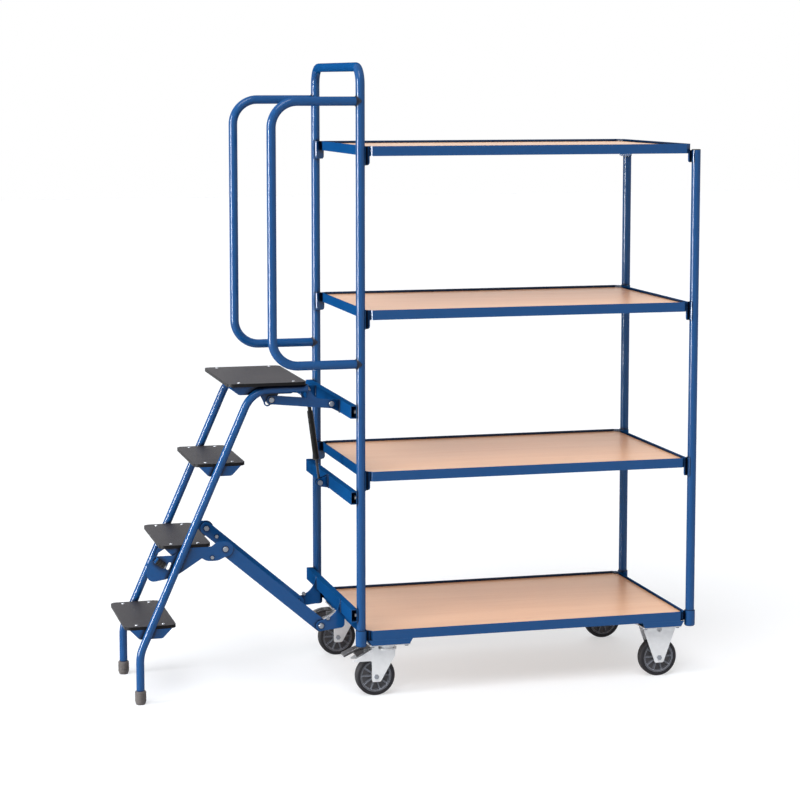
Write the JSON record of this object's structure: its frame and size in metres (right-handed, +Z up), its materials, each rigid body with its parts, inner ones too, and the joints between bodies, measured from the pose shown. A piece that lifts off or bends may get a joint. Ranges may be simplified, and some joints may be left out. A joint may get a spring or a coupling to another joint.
{
  "type": "order picking trolley",
  "caption": "Order picking trolley: blue tube frame with recessed wood shelves, push arch, handrails, braked swivel casters and a folding step ladder on links with a gas spring.",
  "frame": {"origin": "on the floor, under the middle of the whole trolley's box with the ladder down", "axes": "+X along the trolley from the ladder to the far end, +Y across it to the back, +Z up"},
  "size_m": [1.8218, 0.6538, 1.97],
  "materials": {
    "blue_paint": "semi-gloss powder coat",
    "beech_board": "matt laminate, beech grain",
    "grip_board": "anti-slip film on plywood",
    "zinc": "bright zinc plate",
    "bolt_steel": "zinc plate",
    "tyre_rubber": "matt solid rubber",
    "grey_plastic": "moulded, satin",
    "pedal_plastic": "moulded, matt",
    "black_plastic": "moulded, matt",
    "foot_rubber": "matt",
    "black_paint": "satin black",
    "rod_chrome": "polished"
  },
  "bodies": {
    "frame": {"left_end_frame": "blue_paint", "right_posts": "blue_paint", "front_handrail": "blue_paint", "back_handrail": "blue_paint", "post_clamps": "blue_paint", "post_sockets": "blue_paint", "deck_frame": "blue_paint", "lower_shelf_frame": "blue_paint", "middle_shelf_frame": "blue_paint", "top_shelf_frame": "blue_paint", "upper_crossbar": "blue_paint", "middle_crossbar": "blue_paint", "lower_crossbar": "blue_paint", "arm_ears": "blue_paint", "link_ears": "blue_paint", "spring_ear": "blue_paint", "caster_gussets": "blue_paint", "deck_board": "beech_board", "lower_shelf_board": "beech_board", "middle_shelf_board": "beech_board", "top_shelf_board": "beech_board", "swivel_plates": "zinc", "fixed_forks": "zinc", "frame_bolts": "bolt_steel", "frame_pivot_bolts": "bolt_steel", "fixed_axles": "bolt_steel", "caster_bolts": "bolt_steel", "post_caps": "black_plastic"},
    "links": {"lower_links": "blue_paint"},
    "ladder": {"front_leg": "blue_paint", "back_leg": "blue_paint", "rubber_feet": "foot_rubber", "platform_board": "grip_board", "platform_pan": "blue_paint", "step_boards": "grip_board", "step_pans": "blue_paint", "tread_screws": "bolt_steel", "leg_brackets": "blue_paint", "ladder_bolts": "bolt_steel", "platform_lugs": "blue_paint", "rubber_buffer": "foot_rubber"},
    "arms": {"upper_arms": "blue_paint", "arm_cross_tube": "blue_paint", "arm_pivot_bolts": "bolt_steel"},
    "gas_rod": {"spring_rod": "rod_chrome"},
    "gas_cylinder": {"spring_cylinder": "black_paint"},
    "front_caster": {"front_swivel_fork": "zinc", "front_swivel_axle": "bolt_steel"},
    "front_caster_wheel": {"front_swivel_rim": "grey_plastic", "front_swivel_tyre": "tyre_rubber"},
    "front_pedal": {"front_brake_pedal": "pedal_plastic"},
    "front_fixed_wheel": {"front_fixed_rim": "grey_plastic", "front_fixed_tyre": "tyre_rubber"},
    "back_caster": {"back_swivel_fork": "zinc", "back_swivel_axle": "bolt_steel"},
    "back_caster_wheel": {"back_swivel_rim": "grey_plastic", "back_swivel_tyre": "tyre_rubber"},
    "back_pedal": {"back_brake_pedal": "pedal_plastic"},
    "back_fixed_wheel": {"back_fixed_rim": "grey_plastic", "back_fixed_tyre": "tyre_rubber"}
  },
  "joints": [
    {"name": "ladder_fold", "type": "hinge", "parent": "frame", "child": "links", "pos_m": [-0.29301, 0, 0.209], "axis": [0, 1, 0], "range_deg": [0, 41]},
    {"name": "ladder_lean", "type": "hinge", "parent": "links", "child": "ladder", "pos_m": [-0.59601, 0, 0.47], "axis": [0, 1, 0], "range_deg": [-56.7, 0]},
    {"name": "arm_swing", "type": "hinge", "parent": "frame", "child": "arms", "pos_m": [-0.25701, 0, 0.913], "axis": [0, 1, 0], "range_deg": [0, 61.3]},
    {"name": "spring_tilt", "type": "hinge", "parent": "frame", "child": "gas_rod", "pos_m": [-0.25701, 0, 0.635], "axis": [0, 1, 0], "range_deg": [0, 0.8]},
    {"name": "spring_stroke", "type": "slide", "parent": "gas_rod", "child": "gas_cylinder", "axis": [-0.1292, 0, 0.9916], "range_m": [0, 0.0381]},
    {"name": "front_swivel", "type": "hinge", "parent": "frame", "child": "front_caster", "pos_m": [-0.10301, -0.263, 0.15], "axis": [0, 0, 1], "continuous": true},
    {"name": "front_caster_roll", "type": "hinge", "parent": "front_caster", "child": "front_caster_wheel", "pos_m": [-0.14101, -0.263, 0.0625], "axis": [0, 1, 0], "continuous": true},
    {"name": "front_brake_press", "type": "hinge", "parent": "front_caster", "child": "front_pedal", "pos_m": [-0.14501, -0.263, 0.1546], "axis": [0, -1, 0], "range_deg": [0, 12]},
    {"name": "front_fixed_roll", "type": "hinge", "parent": "frame", "child": "front_fixed_wheel", "pos_m": [0.80099, -0.263, 0.0625], "axis": [0, 1, 0], "continuous": true},
    {"name": "back_swivel", "type": "hinge", "parent": "frame", "child": "back_caster", "pos_m": [-0.10301, 0.263, 0.15], "axis": [0, 0, 1], "continuous": true},
    {"name": "back_caster_roll", "type": "hinge", "parent": "back_caster", "child": "back_caster_wheel", "pos_m": [-0.14101, 0.263, 0.0625], "axis": [0, 1, 0], "continuous": true},
    {"name": "back_brake_press", "type": "hinge", "parent": "back_caster", "child": "back_pedal", "pos_m": [-0.14501, 0.263, 0.1546], "axis": [0, -1, 0], "range_deg": [0, 12]},
    {"name": "back_fixed_roll", "type": "hinge", "parent": "frame", "child": "back_fixed_wheel", "pos_m": [0.80099, 0.263, 0.0625], "axis": [0, 1, 0], "continuous": true}
  ],
  "couplings": [
    {"joint": "ladder_lean", "follows": "ladder_fold", "ratio": -1.381},
    {"joint": "arm_swing", "follows": "ladder_fold", "ratio": 1.4931},
    {"joint": "spring_tilt", "follows": "ladder_fold", "ratio": 0.0193},
    {"joint": "spring_stroke", "follows": "ladder_fold", "m_per_rad": 0.053155}
  ]
}
